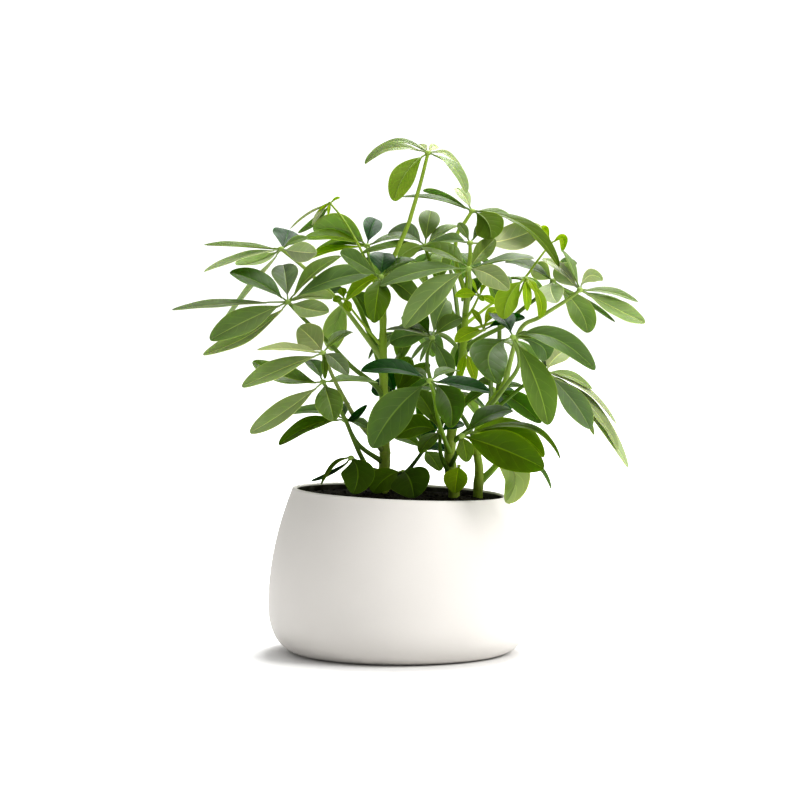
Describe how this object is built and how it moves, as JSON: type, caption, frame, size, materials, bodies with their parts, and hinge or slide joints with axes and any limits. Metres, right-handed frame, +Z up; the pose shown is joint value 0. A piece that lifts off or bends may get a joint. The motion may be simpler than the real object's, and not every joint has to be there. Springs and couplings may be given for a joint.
{
  "type": "potted dwarf umbrella plant",
  "caption": "Potted dwarf umbrella plant: compound leaves of stalked oval leaflets that spread like umbrella ribs, on thin stems in a round-bellied matte off-white ceramic pot",
  "frame": {"origin": "centre of the pot's flat foot, on the surface it stands on", "axes": "+Z up along the pot's axis; -Y towards the front of the plant, the side that the picture shows; +X to the right in that view"},
  "size_m": [0.4683, 0.3471, 0.5132],
  "materials": {
    "pot_ceramic": "matte off-white ceramic",
    "soil": "crumbly dark potting soil",
    "stem_bark": "smooth green young bark",
    "leaf": "satin leathery green leaf",
    "young_leaf": "satin lime green young leaf"
  },
  "bodies": {
    "root": {"pot": "pot_ceramic", "soil": "soil", "stem_left": "stem_bark", "stem_centre": "stem_bark", "stem_right": "stem_bark", "leaf_centre_top": "leaf", "leaf_right_front": "leaf", "leaf_centre_front": "leaf", "leaf_far_left": "leaf", "leaf_low_front": "leaf", "leaf_lower_left": "leaf", "leaf_crown": "leaf", "leaf_upper_left": "leaf", "leaf_left_top": "leaf", "leaf_far_right": "leaf", "leaf_lower_right": "leaf", "leaf_left": "leaf", "leaf_centre_lime": "leaf", "leaf_crown_right": "leaf", "leaf_behind_crown": "leaf", "leaf_back_left": "leaf", "leaf_dark_left": "leaf", "leaf_over_rim": "leaf", "leaf_soil_front": "leaf", "leaf_heart": "leaf", "leaf_behind_right": "leaf", "leaf_mid_left": "leaf", "young_leaf_right": "young_leaf", "leaf_low_back": "leaf", "leaf_behind_front": "leaf", "leaf_inner": "leaf", "leaf_right_back": "leaf", "young_leaf_left": "young_leaf", "young_leaf_centre": "young_leaf", "young_leaf_heart": "young_leaf", "young_leaf_stem": "young_leaf", "young_leaf_branch": "young_leaf", "young_leaf_top_right": "young_leaf", "young_leaf_foot": "young_leaf", "far_leaf_1": "leaf", "far_leaf_2": "leaf", "far_leaf_3": "leaf", "far_leaf_4": "leaf", "far_leaf_5": "leaf", "far_leaf_6": "leaf"}
  },
  "joints": []
}
